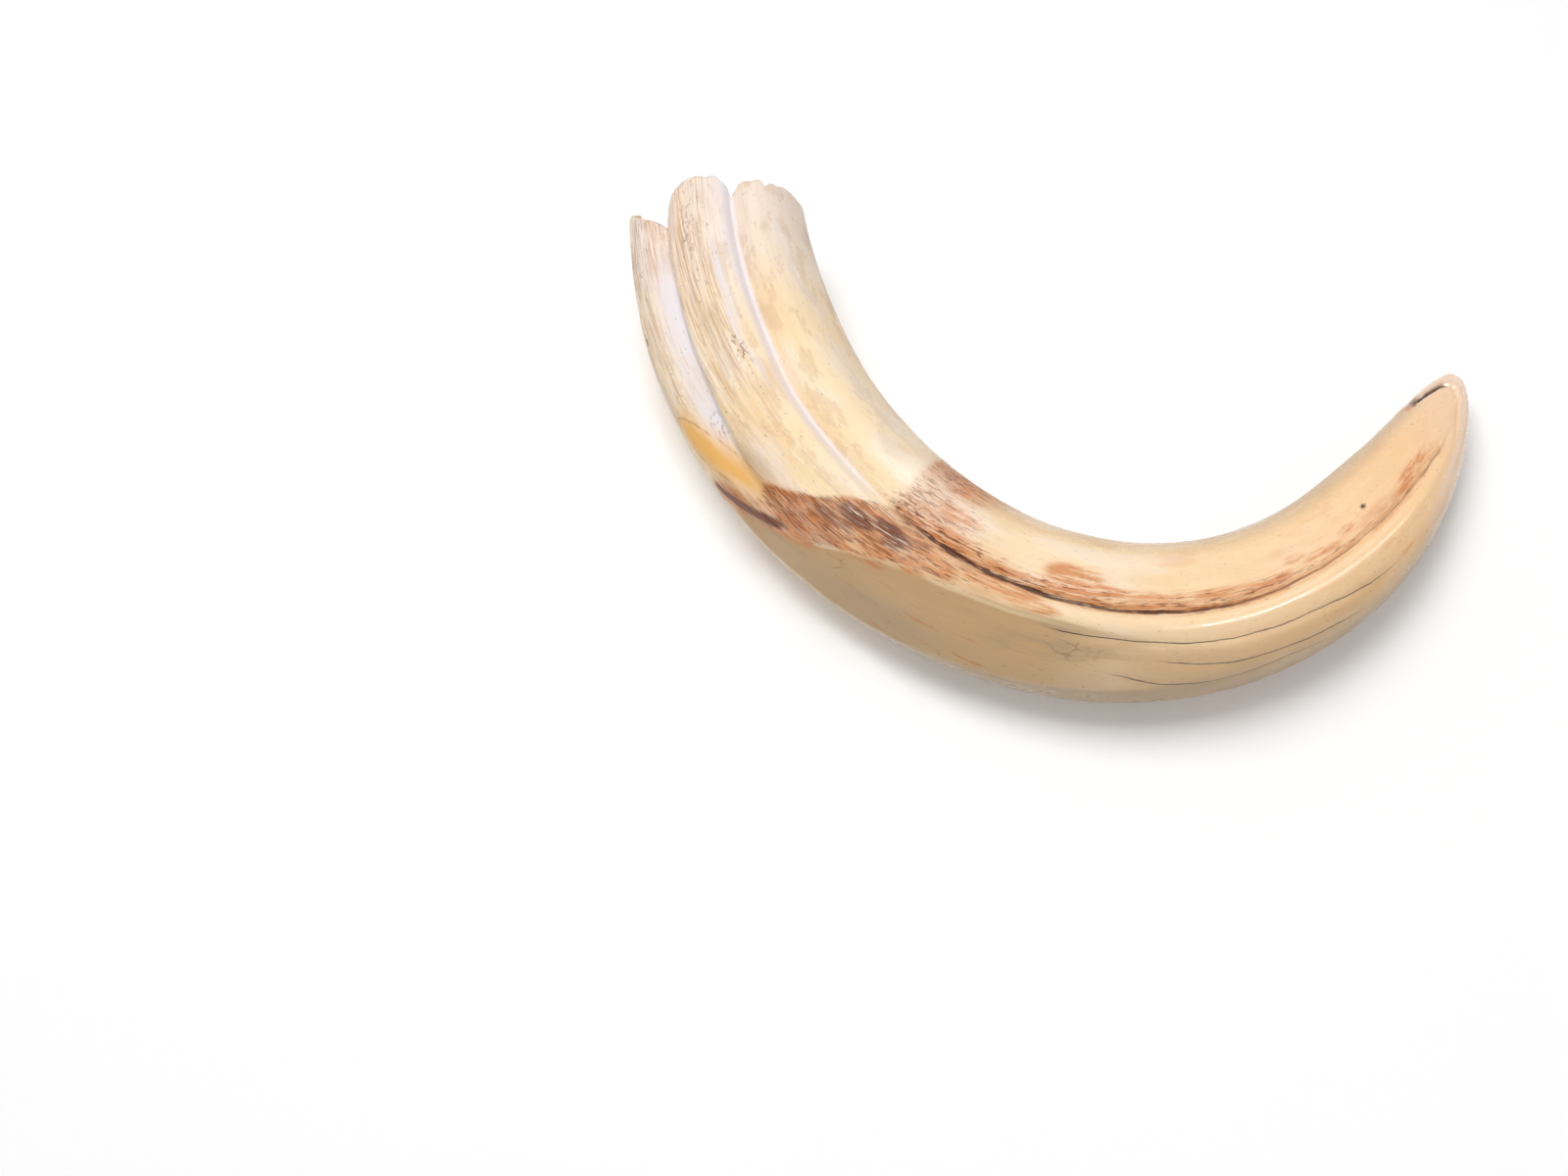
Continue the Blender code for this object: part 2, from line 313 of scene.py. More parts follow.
class StageSettings(bpy.types.PropertyGroup):
    lens: bpy.props.FloatProperty(name="Lens", description="The camera's lens, in mm", default=50, min=10)
    distance: bpy.props.FloatProperty(
        name="Distance", description="From the camera to what it aims at", default=0.46, min=0.1,
        unit="LENGTH",
    )
    elevation: bpy.props.FloatProperty(
        name="Elevation", description="How far above level the camera looks down from",
        default=math.radians(60), subtype="ANGLE",
    )
    aim: bpy.props.FloatVectorProperty(
        name="Aim", description="From the tusk's middle to what the camera aims at",
        default=(-0.0590, -0.0358, -0.0036), subtype="TRANSLATION", unit="LENGTH",
    )
    floor: tint("Floor", "The plain floor", 251, 251, 251)
    key: bpy.props.FloatProperty(
        name="Key", description="The key light's power", default=11.7, unit="POWER"
    )
    fill: bpy.props.FloatProperty(
        name="Fill", description="The fill light's power", default=2.8, unit="POWER"
    )
    glints: bpy.props.FloatProperty(
        name="Glints", description="The power of the lights that only shine back", default=9.0,
        unit="POWER",
    )
    ambient: bpy.props.FloatProperty(name="Ambient", description="The room light's strength", default=0.30)


# Shape


def keyed(keys, at):
    """The values at some positions of a smooth curve through (position, value) keys."""
    x, y = np.array(keys, float).T
    slope = np.diff(y) / np.diff(x)
    pair = slope[:-1] * slope[1:]
    total = np.where(pair > 0, slope[:-1] + slope[1:], 1.0)
    bend = np.concatenate([slope[:1], np.where(pair > 0, 2 * pair / total, 0.0), slope[-1:]])
    at = np.clip(at, x[0], x[-1])
    i = np.clip(np.searchsorted(x, at, side="right") - 1, 0, len(x) - 2)
    step = x[i + 1] - x[i]
    t = (at - x[i]) / step
    rise = t * t * (3 - 2 * t)
    return (
        y[i] * (1 - rise) + y[i + 1] * rise
        + step * (bend[i] * t * (1 - t) ** 2 - bend[i + 1] * t * t * (1 - t))
    )


def turned(degrees):
    """Degrees brought to between -180 and 180."""
    return (degrees + 180) % 360 - 180


def ramp(values, low, high):
    """0 up to low, 1 from high on, and smooth between."""
    t = np.clip((values - low) / (high - low), 0, 1)
    return t * t * (3 - 2 * t)


def bump(away, spread):
    """1 where away is 0, falling smoothly to 0 over about twice the spread."""
    return np.exp(-((away / spread) ** 2))


def unworn_radius(share, degrees):
    """How far the skin is from the spine before it is grooved, rubbed and rounded at the tip."""
    angle = np.radians(degrees)
    across = np.where(np.sin(angle) > 0, keyed(OUTER_HALF, share), keyed(INNER_HALF, share))
    upright = keyed(HALF_HEIGHT, share)
    return (
        np.abs(np.sin(angle) / across) ** SQUARENESS + np.abs(np.cos(angle) / upright) ** SQUARENESS
    ) ** (-1 / SQUARENESS)


def grooved_radius(share, degrees):
    """The same with its long grooves and swells."""
    radius = unworn_radius(share, degrees)
    for path, (below, above), depth in GROOVES:
        away = turned(degrees - keyed(path, share))
        radius = radius - keyed(depth, share) * bump(away, np.where(away < 0, below, above))
    return radius


def facet_radius(share, degrees):
    """How far the rubbed flat is from the spine."""
    edge, facing = keyed(FACET_EDGE, share), keyed(FACET_FACING, share)
    flat = unworn_radius(share, edge) * np.cos(np.radians(facing - edge)) + keyed(FACET_FADED, share)
    return flat / np.maximum(np.cos(np.radians(turned(degrees - facing))), 0.05)


def closing(share):
    """1 along the tusk, falling to 0 at the tip as a round nose does."""
    nose = np.clip((share - TIP_FROM) / (1 - TIP_FROM), 0, 1)
    return np.sqrt(1 - nose**2)


def crack_offsets(path, share, degrees, radius):
    """Metres round the skin from a crack's path, and the crack's strength from 0 to 1."""
    start, end = path[0][0], path[-1][0]
    opens, closes = CRACK_FADES
    strength = ramp(share, start, start + opens) * (1 - ramp(share, end - closes, end))
    return np.radians(turned(degrees - keyed(path, share))) * radius, strength


def past_tip_edge(length, share, degrees, radius):
    """Metres outward from the tip's raised edge, and how plain the edge is, from 0 to 1."""
    edge = keyed(TIP_EDGE, degrees)
    slope = (keyed(TIP_EDGE, degrees + 1) - keyed(TIP_EDGE, degrees - 1)) / math.radians(2)
    steepness = slope * length / np.maximum(radius * closing(share), 0.002)
    plain = ramp(degrees, -82, -64) * (1 - ramp(degrees, 38, 50)) * ramp(share, 0.90, 0.94)
    return (share - edge) * length / np.hypot(1, steepness), plain


def rough(points, size, seed, octaves=3):
    """Fractal noise about 0 at some points, with swells of about this size."""
    offset = Vector((seed * 17.3, seed * 5.1, seed * 9.7))
    return np.array(
        [noise.fractal(Vector(p) / size + offset, 1.0, 2.0, octaves) for p in points.tolist()]
    )


def rim_back(degrees):
    """How far the broken rim stands back, by angle."""
    angle = np.radians(degrees)
    back = keyed(RIM, turned(degrees))
    for middle, spread, depth in RIM_NOTCHES:
        back = back + depth * bump(turned(degrees - middle), spread)
    circle = np.stack([np.cos(angle), np.sin(angle), 0 * angle], -1)
    return back + RIM_ROUGHNESS * rough(circle, 0.16, 3, 4)


def carve(shape, blank, skin):
    """Turns the blank's points into the straight tusk's, and finds what the material needs at each.

    skin is 1 for points of the outer skin and 0 for the hollow's. Returns the carved points and the
    marks, by name, as three numbers a point.
    """
    length = shape.length
    degrees = np.degrees(np.arctan2(-blank[:, 1], blank[:, 2]))
    along = np.clip(blank[:, 0] / length, 0, 1)
    inward = np.where(skin, 0, np.clip(blank[:, 0] / shape.hollow_depth, 0, 1))
    share = np.where(skin, 1 - (1 - along) ** RING_CROWDING, inward * shape.hollow_depth / length)

    grooved, facet = grooved_radius(share, degrees), facet_radius(share, degrees)
    radius = np.minimum(grooved, facet)
    radius = radius - FACET_EDGE_DIP * bump(grooved - facet, FACET_EDGE_WIDTH)
    worn = ramp(grooved - facet, 0, FACET_EDGE_WIDTH)

    angle = np.radians(degrees)
    place = np.stack([share * length, -radius * np.sin(angle), radius * np.cos(angle)], -1)
    swell = rough(place * (0.5, 1, 1), SWELL_SIZE, 1)
    flutes = rough(place * (0.05, 1, 1), FLUTE_SIZE, 2, 2)
    root_grain = (1 - ramp(share, 0.10, 0.36)) * (0.16 + 0.84 * ramp(turned(degrees), -2, 20))
    radius = radius + shape.waviness * swell * (1 - 0.6 * worn)
    radius = radius + shape.fluting * flutes * root_grain * (1 - worn)

    offsets, strengths = zip(*(crack_offsets(path, share, degrees, radius) for path in CRACKS))
    for offset, strength in zip(offsets, strengths):
        radius = radius - CRACK_DEPTH * strength * bump(offset, CRACK_SPREAD)
    past, plain = past_tip_edge(length, share, turned(degrees), radius)
    chip_length, chip_width = CHIP_SPREADS
    chip = bump(share - CHIP_SHARE, chip_length) * bump(turned(degrees - CHIP_ANGLE), chip_width)
    shaped = LIP_HEIGHT * bump(past - 0.0012, 0.0009) - LIP_GROOVE * bump(past + 0.0004, 0.0007)
    radius = radius * closing(share) + shaped * plain - CHIP_DEPTH * chip
    radius = np.maximum(radius, 0) * (share < 1)
    tip_dirt = bump(past + 0.0002, 0.0006) * plain * ramp(turned(degrees), -66, -54)
    tip_dirt = np.maximum(tip_dirt * (1 - ramp(turned(degrees), -30, -4)), 0.8 * chip)

    lip_inset = RIM_ROUNDING * np.exp(-share * length / RIM_ROUNDING_FADES)
    hollow = (radius - shape.rim_wall + 0.4 * lip_inset) * (1 - inward) ** shape.hollow_fullness
    hollow_swell = HOLLOW_SWELL * rough(place * (0.4, 1, 1), HOLLOW_SWELL_SIZE, 5)
    hollow = hollow + hollow_swell * np.minimum(6 * inward, 1)
    radius = np.where(skin, radius - lip_inset, np.maximum(hollow, 0) * (inward < 1))

    back = rim_back(degrees) * np.clip(1 - share * length / RIM_FADES_AT, 0, 1) ** 2
    height = keyed(HALF_HEIGHT, share) - SUNK + radius * np.cos(angle)
    floor = np.where(skin, 0, shape.rim_wall)
    carved = np.stack([share * length + back, -radius * np.sin(angle), np.maximum(height, floor)], -1)

    marks = colour_marks(share, degrees, radius, worn, root_grain, tip_dirt)
    # The tip's pale band: a polished rim with a painted highlight along it.
    seen = ramp(turned(degrees), -82, -64) * (1 - ramp(turned(degrees), 82, 105)) * ramp(share, 0.80, 0.90)
    faded = 0.6 * ramp(past, 0.0012, 0.003) * (1 - ramp(turned(degrees), 52, 66))
    marks["zones"][:, 0] = seen * ramp(past, -0.0001, 0.0004) * (1 - faded)
    marks["place"] = np.stack([share * length, -radius * np.sin(angle), radius * np.cos(angle)], -1)
    marks["crack_offsets"] = np.stack(offsets, -1) * MM
    marks["crack_strengths"] = np.stack(strengths, -1) * skin[:, None]
    marks["zones"][:, 1] = 1 - skin
    return carved, marks


def patches(places, share, degrees):
    """The strongest of some soft patches at each point."""
    best = np.zeros(len(share))
    for middle, facing, half_length, half_width, strength in places:
        away = np.hypot((share - middle) / half_length, turned(degrees - facing) / half_width)
        best = np.maximum(best, strength * (1 - ramp(away, 0.3, 1.3)))
    return best


def colour_marks(share, degrees, radius, worn, root_grain, tip_dirt):
    """Where each colour shows, as named sets of three numbers a point."""
    degrees = turned(degrees)
    past_crease = turned(degrees - keyed(CREASE, share))
    from_crease = np.radians(past_crease) * radius * MM
    from_facet = np.radians(turned(degrees - keyed(FACET_EDGE, share))) * radius * MM
    from_ridge = np.radians(turned(degrees - keyed(MIDDLE_RIDGE, share))) * radius * MM
    from_groove = turned(degrees - keyed(OUTER_GROOVE, share))
    # The grooves' chalky bloom, with a painted sheen where their walls catch the light.
    chalk_and_sheen = np.maximum(
        ramp(past_crease, -3.0, -0.5) * (1 - ramp(past_crease, 2, 12 + 17 * np.exp(-share / 0.09)))
        * (1 - ramp(share, 0.33, 0.38)),
        ramp(from_groove, -5, -1) * (1 - ramp(from_groove, 8, 14)) * ramp(share, 0.02, 0.10)
        * (1 - ramp(share, 0.22, 0.28)),
    )
    chalk_and_sheen = np.maximum(chalk_and_sheen, patches(CHALK_AND_SHEEN_PATCHES, share, degrees))
    clear = 1.15 * bump(degrees - keyed(AMBER, share), 8)
    clear = clear * ramp(share, 0.185, 0.22) * (1 - ramp(share, 0.29, 0.33))
    amber = patches(BUTTER_PATCHES, share, degrees) + clear
    past_gum = share - keyed(GUM_LINE, degrees)
    brown = keyed(STAIN_STRENGTH, degrees) * ramp(past_gum, -0.004, 0.006)
    brown = brown * (1 - ramp(past_gum / keyed(STAIN_REACH, degrees), 0.15, 1.0)) * (1 - worn)
    crease = ramp(share, 0.36, 0.41) * (1 - ramp(share, 0.885, 0.925))
    flat = worn * (1 - ramp(share, 0.50, 0.64))
    side = 0.75 * ramp(degrees, 42, 62) * ramp(share, 0.50, 0.60) * (1 - ramp(share, 0.72, 0.90))
    # Patina with painted shade: darker towards the outer curve's edge and on the inner side, where the light
    # falls off.
    near_tip = ramp(share, 0.76, 0.90)
    patina_and_shade = np.maximum(ramp(degrees, 60 - 14 * near_tip, 94 - 24 * near_tip), 0.7 * ramp(-degrees, 28, 62))
    patina_and_shade = patina_and_shade * np.where(degrees > 0, ramp(share, 0.22, 0.50), 0.45 + 0.55 * ramp(share, 0.22, 0.50))
    patina_and_shade = patina_and_shade * (1 - 0.55 * worn * ramp(share, 0.40, 0.47) * (1 - ramp(share, 0.58, 0.66)))
    # Painted shade patches, kept off the rubbed flat.
    patina_and_shade = np.maximum(patina_and_shade, patches(SHADE_PATCHES, share, degrees) * (1 - worn))
    from_streak = degrees - keyed(FLANGE_STREAK, share)
    streak = 1.4 * bump(from_streak, 3.8) * ramp(share, 0.245, 0.262)
    fringe = bump(from_streak, 8.0) * ramp(share, 0.240, 0.265) * (1 - ramp(share, 0.345, 0.36))
    purple = np.maximum(
        patches(PURPLE_PATCHES, share, degrees), streak * (1 - ramp(share, 0.31, 0.335))
    )
    rust = np.maximum(patches(RUST_PATCHES, share, degrees), fringe)
    dirt = np.maximum(tip_dirt, patches(DIRT_PATCHES, share, degrees))
    return {
        "tints": np.stack([chalk_and_sheen, amber, np.maximum(flat, side)], -1),
        "stains": np.stack([brown, purple, rust], -1),
        "zones": np.stack([0 * share, 0 * share, root_grain], -1),
        "lines": np.stack([from_crease, crease, from_facet], -1),
        "tip": np.stack([dirt, share, patina_and_shade], -1),
        "flecks": np.stack([patches(FLECK_PATCHES, share, degrees), from_ridge, flat], -1),
    }


def only(thing):
    """Makes one object the only one selected, and the active one."""
    bpy.ops.object.select_all(action="DESELECT")
    thing.select_set(True)
    bpy.context.view_layer.objects.active = thing


def pick(mesh, kind, wanted):
    """Selects, in edit mode, the faces, edges or vertices for which wanted says yes, and no others."""
    bpy.context.tool_settings.mesh_select_mode = (kind == "verts", kind == "edges", kind == "faces")
    bpy.ops.mesh.select_all(action="DESELECT")
    shown = bmesh.from_edit_mesh(mesh)
    picked = [element for element in getattr(shown, kind) if wanted(element)]
    if not picked:
        raise RuntimeError(f"the blank has no such {kind}")
    for element in picked:
        element.select_set(True)
    shown.select_flush_mode()
    bmesh.update_edit_mesh(mesh)


def lengthwise(edge):
    """Whether an edge of the blank runs along it."""
    return abs(edge.verts[0].co.x - edge.verts[1].co.x) > 1e-5


def bored(vertex):
    """Whether a vertex of the blank belongs to its bore."""
    return math.hypot(vertex.co.y, vertex.co.z) < SKIN_FROM_RADIUS


def add_blank(shape):
    """A round bar along +X with a bored root, ringed closely enough to carve."""
    length, depth = shape.length, shape.hollow_depth
    bpy.ops.object.select_all(action="DESELECT")
    bpy.ops.mesh.primitive_cylinder_add(
        vertices=COLUMNS, radius=BAR_RADIUS, depth=length, end_fill_type="NGON",
        location=(length / 2, 0, 0), rotation=(0, math.radians(90), 0),
    )
    bar = bpy.context.object
    bar.name = bar.data.name = "ivory_tusk"
    bpy.ops.object.transform_apply(location=True, rotation=True, scale=True)
    mesh = bar.data

    bpy.ops.object.mode_set(mode="EDIT")
    for steps in RINGS:
        pick(mesh, "edges", lengthwise)
        bpy.ops.mesh.subdivide(number_cuts=steps - 1)
    pick(mesh, "faces", lambda face: face.calc_center_median().x < SAME_PLACE)
    bpy.ops.mesh.inset(thickness=BORE_INSET)
    bpy.ops.mesh.extrude_region_move(TRANSFORM_OT_translate={"value": (depth, 0, 0)})
    pick(mesh, "edges", lambda edge: lengthwise(edge) and all(bored(v) for v in edge.verts))
    bpy.ops.mesh.subdivide(number_cuts=HOLLOW_RINGS - 1)
    for end in (depth, length):
        pick(mesh, "verts", lambda v: abs(v.co.x - end) < SAME_PLACE and (end == length or bored(v)))
        bpy.ops.mesh.merge(type="CENTER")
    bpy.ops.object.mode_set(mode="OBJECT")
    return bar


def bend(shape, bar):
    """Bends the carved bar along the spine, and sets it where the solid is."""
    step = shape.length / (SPINE_POINTS - 1)
    turn = keyed(CURVATURE, np.linspace(0, 1, SPINE_POINTS)) * step
    heading = ROOT_HEADING + np.cumsum(turn)
    x = np.concatenate([[0], np.cumsum(np.cos(heading) * step)[:-1]])
    y = np.concatenate([[0], np.cumsum(np.sin(heading) * step)[:-1]])
    line = bpy.data.curves.new("spine", "CURVE")
    line.dimensions = "3D"
    line.twist_mode = "Z_UP"
    points = line.splines.new("POLY").points
    points.add(SPINE_POINTS - 1)
    points.foreach_set("co", np.stack([x, y, 0 * x, 1 + 0 * x], -1).ravel())
    spine = bpy.data.objects.new("spine", line)
    bpy.context.scene.collection.objects.link(spine)

    only(bar)
    bpy.ops.object.modifier_add(type="CURVE")
    bar.modifiers[-1].object = spine
    bar.modifiers[-1].deform_axis = "POS_X"
    bpy.ops.object.modifier_apply(modifier=bar.modifiers[-1].name)
    bpy.data.objects.remove(spine)

    corners = np.array([v.co for v in bar.data.vertices])
    middle = (corners.min(0) + corners.max(0)) / 2
    bpy.ops.object.mode_set(mode="EDIT")
    bpy.ops.mesh.select_all(action="SELECT")
    bpy.ops.transform.translate(
        value=(SOLID_MIDDLE.x - middle[0], SOLID_MIDDLE.y - middle[1], SOLID_LOW.z - corners[:, 2].min())
    )
    bpy.ops.object.mode_set(mode="OBJECT")


# Materials


class Value:
    """A number that varies over a surface: a node's output, on which arithmetic adds Math nodes."""

    def __init__(self, paint, socket):
        self.paint, self.socket = paint, socket

    def math(self, operation, *values):
        return self.paint.node("ShaderNodeMath", {"operation": operation}, dict(enumerate(values)))

    def __add__(self, other):
        return self.math("ADD", self, other)

    __radd__ = __add__

    def __sub__(self, other):
        return self.math("SUBTRACT", self, other)

    def __rsub__(self, other):
        return self.math("SUBTRACT", other, self)

    def __mul__(self, other):
        return self.math("MULTIPLY", self, other)

    __rmul__ = __mul__

    def __abs__(self):
        return self.math("ABSOLUTE", self)

    def most(self, other):
        return self.math("MAXIMUM", self, other)

    def between(self, low, high):
        """0 up to low, 1 from high on, and smooth between."""
        return self.paint.node(
            "ShaderNodeMapRange", {"interpolation_type": "SMOOTHSTEP"},
            {"Value": self, "From Min": low, "From Max": high},
        )


class Paint:
    """A material and its nodes, which one method adds."""

    def __init__(self, name):
        self.material = bpy.data.materials.new(name)
        self.material.use_nodes = True
        self.tree = self.material.node_tree
        self.shader = self.tree.nodes["Principled BSDF"]

    def link(self, value, socket):
        if isinstance(value, Value):
            self.tree.links.new(value.socket, socket)
        elif hasattr(socket.default_value, "__len__") and len(value) < len(socket.default_value):
            socket.default_value = (*value, 1)
        else:
            socket.default_value = value

    def node(self, kind, settings, sockets, output=0):
        made = self.tree.nodes.new(kind)
        for name, setting in settings.items():
            setattr(made, name, setting)
        for name, value in sockets.items():
            self.link(value, made.inputs[name])
        return Value(self, made.outputs[output])

    def blend(self, share, under, over):
        """Two colours mixed, by a share of the second."""
        return self.node("ShaderNodeMix", {"data_type": "RGBA"}, {0: share, 6: under, 7: over}, 2)

    def marks(self, name):
        """The three numbers that the mesh holds under this name."""
        vector = self.node("ShaderNodeAttribute", {"attribute_name": name}, {}, "Vector")
        return tuple(self.node("ShaderNodeSeparateXYZ", {}, {0: vector}, axis) for axis in "XYZ")

    def along_grain(self, along, across, shift=0.0):
        """A point's place on the straight tusk, counted in these lengths along and across the grain."""
        place = self.node("ShaderNodeAttribute", {"attribute_name": "place"}, {}, "Vector")
        scale = (1 / along, 1 / across, 1 / across)
        return self.node(
            "ShaderNodeMapping", {}, {"Vector": place, "Location": (shift, shift, shift), "Scale": scale}
        )

    def streaks(self, along, across, detail=2.0, roughness=0.5, shift=0.0):
        """Noise from 0 to 1 whose swells have these lengths along and across the grain."""
        scaled = self.along_grain(along, across, shift)
        return self.node(
            "ShaderNodeTexNoise", {},
            {"Vector": scaled, "Scale": 1.0, "Detail": detail, "Roughness": roughness},
        )

    def cracks_between(self, along, across):
        """The distance from the nearest crack in a crazed surface whose cells are about this large."""
        scaled = self.along_grain(along, across)
        return self.node(
            "ShaderNodeTexVoronoi", {"feature": "DISTANCE_TO_EDGE"}, {"Vector": scaled, "Scale": 1.0},
            "Distance",
        )

    def finish(self, **sockets):
        """Sets the shader's sockets, by their names with lines for spaces."""
        for name, value in sockets.items():
            self.link(value, self.shader.inputs[name.replace("_", " ")])
        return self.material


def ivory(colours):
    """Old ivory: creamy, polished, lined at the root, stained past the gum line, dirty in its cracks."""
    paint = Paint("ivory")
    chalk_and_sheen, amber, worn = paint.marks("tints")
    brown, purple, rust = paint.marks("stains")
    tip_band_and_highlight, hollow, root_grain = paint.marks("zones")
    from_crease, crease, from_facet = paint.marks("lines")
    dirt, share, patina_and_shade = paint.marks("tip")
    flecked, from_ridge, flat = paint.marks("flecks")

    # The noises, by what each draws. wander runs either side of 0, and moves an edge about.
    clouds = paint.streaks(0.030, 0.012, 3)
    haze = paint.streaks(0.022, 0.0060, 3, shift=3)
    lines = paint.streaks(0.012, 0.00044, 3, 0.62, shift=7)
    bands = paint.streaks(0.045, 0.0024, 3, 0.55, shift=11)
    fibres = paint.streaks(0.010, 0.00060, 3, 0.65, shift=17)
    dashes = paint.streaks(0.0030, 0.00036, 2, 0.55, shift=5)
    tans = paint.streaks(0.012, 0.0045, 4, 0.62, shift=21)
    mottle = paint.streaks(0.0045, 0.0022, 4, 0.6, shift=9)
    specks = paint.streaks(0.0013, 0.0007, 1, shift=13)
    wander = paint.streaks(0.007, 0.003, 3, 0.6, shift=2) - 0.5

    # The clean ivory, from the chalky root to the warmer tip.
    colour = paint.blend(clouds.between(0.42, 0.60), colours.cream, colours.pale)
    colour = paint.blend(haze.between(0.46, 0.60) * share.between(0.06, 0.2) * 0.7, colour, colours.butter)
    colour = paint.blend((1 - share.between(0.02, 0.20)) * (0.6 + 0.5 * haze), colour, colours.root)
    rootward = 1 - share.between(0.32, 0.38)
    colour = paint.blend(tans.between(0.50, 0.57) * rootward * 0.20, colour, colours.grain)
    colour = paint.blend((1 - haze.between(0.36, 0.48)) * rootward * 0.30, colour, colours.chalk_and_sheen)
    colour = paint.blend(share.between(0.42, 0.85) * (0.65 + 0.45 * clouds), colour, colours.peach)
    tanned = tans.between(0.50, 0.72) * (0.35 + 0.65 * share.between(0.30, 0.50))
    colour = paint.blend(tanned * 0.22, colour, colours.rust)

    # The root's lines, the bloom in its grooves with its painted sheen, and the tip's pale band with its
    # painted highlight.
    grain = root_grain * lines.between(0.46, 0.60) * (0.45 + 0.6 * bands.between(0.35, 0.65))
    colour = paint.blend(grain * 0.62, colour, colours.grain)
    colour = paint.blend(root_grain * bands.between(0.50, 0.72) * 0.30, colour, colours.amber)
    colour = paint.blend(root_grain * (1 - lines.between(0.34, 0.43)) * 0.70, colour, colours.pale)
    # Painted sheen with the bloom in the grooves.
    bloom_and_sheen = chalk_and_sheen * (0.30 + 0.55 * haze.between(0.36, 0.60) + 0.55 * mottle)
    colour = paint.blend(bloom_and_sheen, colour, colours.chalk_and_sheen)
    # Painted highlight with the tip's polished band.
    colour = paint.blend((tip_band_and_highlight * 0.6).most(share.between(0.84, 0.99) * 0.35), colour, colours.tip_band_and_highlight)

    # The rubbed flat, with its veins, scratches and crest with its painted highlight, the sides darkened by
    # patina and painted shade, and the amber patch.
    colour = paint.blend(worn * (0.75 + 0.4 * clouds), colour, colours.worn)
    veins = flat * (haze + 0.25 * (fibres - 0.5)).between(0.52, 0.72)
    colour = paint.blend(veins * 0.60, colour, colours.patina_and_shade)
    # Painted shade with some patina on the curved sides, kept off the tip's band.
    colour = paint.blend(patina_and_shade * (1 - 0.9 * tip_band_and_highlight) * (0.60 + 0.5 * haze), colour, colours.patina_and_shade)
    scratches = flat * fibres.between(0.57, 0.65) * from_facet.between(3, 10) * bands.between(0.45, 0.60)
    colour = paint.blend(scratches * 0.65, colour, colours.brown)
    # Painted highlight: a pale line along the rubbed flat's upper edge.
    crest_highlight = (1 - abs(from_facet - 0.1 + wander * 0.8).between(0.15, 0.8)) * share.between(0.30, 0.38)
    colour = paint.blend(crest_highlight * (1 - share.between(0.48, 0.58)) * 0.55, colour, colours.crest_highlight)
    colour = paint.blend(amber * (0.10 + haze + 0.7 * bands), colour, colours.amber)
    ragged = amber + wander * 0.3
    edging = ragged.between(0.32, 0.42) * (1 - ragged.between(0.44, 0.6))
    colour = paint.blend(edging * fibres.between(0.4, 0.6) * 0.6, colour, colours.brown)

    # The stain past the gum line: a brown wash, orange over it, then the darkest part and its dashes.
    wash = brown * (0.12 + 0.45 * fibres.between(0.34, 0.62) + 0.30 * tans.between(0.4, 0.6) + 0.38 * brown)
    colour = paint.blend(wash * 0.92, colour, colours.brown)
    rusty = rust.between(0.0, 0.7) * (0.25 + 0.75 * (fibres + wander * 0.6).between(0.38, 0.62))
    colour = paint.blend(rusty * 0.85, colour, colours.rust)
    deep = (purple * (0.85 + 0.6 * fibres) + wander * 0.9).between(0.25, 1.05) * purple.between(0.02, 0.2)
    colour = paint.blend(deep * (0.52 + 0.44 * fibres.between(0.34, 0.56)), colour, colours.purple)
    colour = paint.blend(purple.between(0.80, 1.2) * (0.45 + 0.5 * fibres), colour, colours.dark)
    dashed = (brown * 0.14 + dashes).between(0.60, 0.70) * brown.between(0.12, 0.5)
    colour = paint.blend(dashed * 0.62, colour, colours.dark)
    colour = paint.blend(rust.between(0.2, 0.7) * dashes.between(0.62, 0.70) * 0.5, colour, colours.dark)

    # The crease: an orange halo on its inner side, dashes in it, and the dirt at its bottom.
    beside = from_crease + wander * 2.0
    halo = beside.between(-6.0, -0.4) * (1 - beside.between(0.0, 1.2)) * crease
    halo = halo * (1 - share.between(0.60, 0.80) * 0.45)
    colour = paint.blend(halo * (0.22 + 0.9 * fibres.between(0.38, 0.60)) * 0.80, colour, colours.rust)
    broken = halo.between(0.15, 0.6) * dashes.between(0.55, 0.65) * (1 - 0.75 * share.between(0.60, 0.72))
    colour = paint.blend(broken * 0.75, colour, colours.dark)
    thick = 0.05 + 0.23 * (1 - abs(share - 0.465).between(0.03, 0.09))
    thick = thick + 0.12 * (1 - share.between(0.58, 0.68))
    thick = thick * (0.35 + 1.3 * fibres.between(0.36, 0.62))
    trace = (1 - (abs(from_crease + wander * 0.9) - thick).between(0.0, 0.24)) * crease
    trace = trace * (0.45 + 0.55 * mottle.between(0.3, 0.5)) * (1 - 0.5 * share.between(0.58, 0.78))
    beyond = from_crease + wander * 2.4 + 1.3
    second = (1 - abs(beyond).between(0.05, 0.30)) * dashes.between(0.46, 0.60)
    second = second * crease * (1 - share.between(0.7, 0.85))
    colour = paint.blend(second * 0.7, colour, colours.dark)
    colour = paint.blend(trace * (0.62 + 0.30 * share.between(0.385, 0.42)), colour, colours.crease)

    # The drying cracks, the pale scratches on the ridge painted partly as highlights, and the small marks all
    # over.
    offsets, strengths = paint.marks("crack_offsets"), paint.marks("crack_strengths")
    cracks = None
    for offset, strength in zip(offsets, strengths):
        line = (1 - abs(offset + wander * 0.9).between(0.03, 0.20)) * strength * (0.15 + 1.5 * haze)
        cracks = line if cracks is None else cracks.most(line)
    colour = paint.blend(cracks * 0.92, colour, colours.crack)
